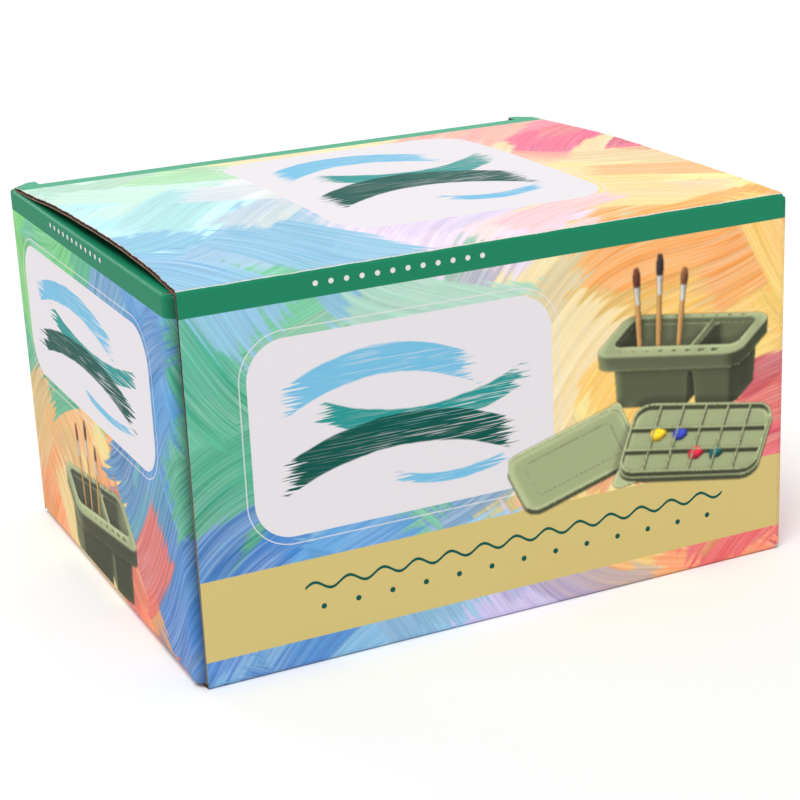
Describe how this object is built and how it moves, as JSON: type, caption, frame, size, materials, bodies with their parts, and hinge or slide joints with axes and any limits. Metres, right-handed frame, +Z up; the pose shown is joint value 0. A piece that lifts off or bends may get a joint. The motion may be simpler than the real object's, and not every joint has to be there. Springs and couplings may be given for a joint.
{
  "type": "paintbrush organizer",
  "caption": "Tuck-top printed carton with a paintbrush organizer inside: rinse tub with graduated brush holes, a palette of wells and a cover that stack",
  "frame": {"origin": "middle of the carton's underside, on the surface it stands on", "axes": "+X along the length to the right, +Y from the front panel to the rear, +Z up"},
  "size_m": [0.255, 0.204, 0.1522],
  "materials": {
    "printed_board": "satin",
    "plain_board": "matte",
    "sage_plastic": "matte"
  },
  "bodies": {
    "carton": {"front_panel": "printed_board", "rear_panel": "printed_board", "left_end_panel": "printed_board", "right_end_panel": "printed_board", "glue_flap": "plain_board", "bottom_front_panel": "plain_board", "bottom_rear_panel": "plain_board", "bottom_left_flap": "plain_board", "bottom_right_flap": "plain_board"},
    "lid": {"lid_panel": "printed_board"},
    "tuck": {"tuck_flap": "printed_board"},
    "left_dust": {"left_dust_flap": "printed_board"},
    "right_dust": {"right_dust_flap": "printed_board"},
    "organizer_tub": {"tub": "sage_plastic"},
    "organizer_palette": {"palette": "sage_plastic"},
    "organizer_cover": {"cover": "sage_plastic"}
  },
  "joints": [
    {"name": "lid_hinge", "type": "hinge", "parent": "carton", "child": "lid", "pos_m": [0, -0.102, 0.15], "axis": [1, 0, 0], "range_deg": [0, 225]},
    {"name": "tuck_hinge", "type": "hinge", "parent": "lid", "child": "tuck", "pos_m": [0, 0.0956, 0.15], "axis": [1, 0, 0], "range_deg": [0, 45.5]},
    {"name": "left_dust_hinge", "type": "hinge", "parent": "carton", "child": "left_dust", "pos_m": [-0.1275, 0, 0.1452], "axis": [0, -1, 0], "range_deg": [0, 180]},
    {"name": "right_dust_hinge", "type": "hinge", "parent": "carton", "child": "right_dust", "pos_m": [0.1275, 0, 0.1452], "axis": [0, 1, 0], "range_deg": [0, 180]},
    {"name": "tub_lift", "type": "slide", "parent": "carton", "child": "organizer_tub", "axis": [0, 0, 1], "range_m": [0, 0.1485]},
    {"name": "palette_lift", "type": "slide", "parent": "organizer_tub", "child": "organizer_palette", "axis": [0, 0, 1], "range_m": [0, 0.0215]},
    {"name": "cover_lift", "type": "slide", "parent": "organizer_palette", "child": "organizer_cover", "axis": [0, 0, 1], "range_m": [0, 0.0215]}
  ],
  "couplings": [
    {"joint": "tuck_hinge", "follows": "lid_hinge", "ratio": 0.2},
    {"joint": "left_dust_hinge", "follows": "lid_hinge", "ratio": 0.7999},
    {"joint": "right_dust_hinge", "follows": "lid_hinge", "ratio": 0.7999},
    {"joint": "tub_lift", "follows": "lid_hinge", "m_per_rad": 0.037688},
    {"joint": "palette_lift", "follows": "lid_hinge", "m_per_rad": 0.0053476},
    {"joint": "cover_lift", "follows": "lid_hinge", "m_per_rad": 0.0053476}
  ]
}
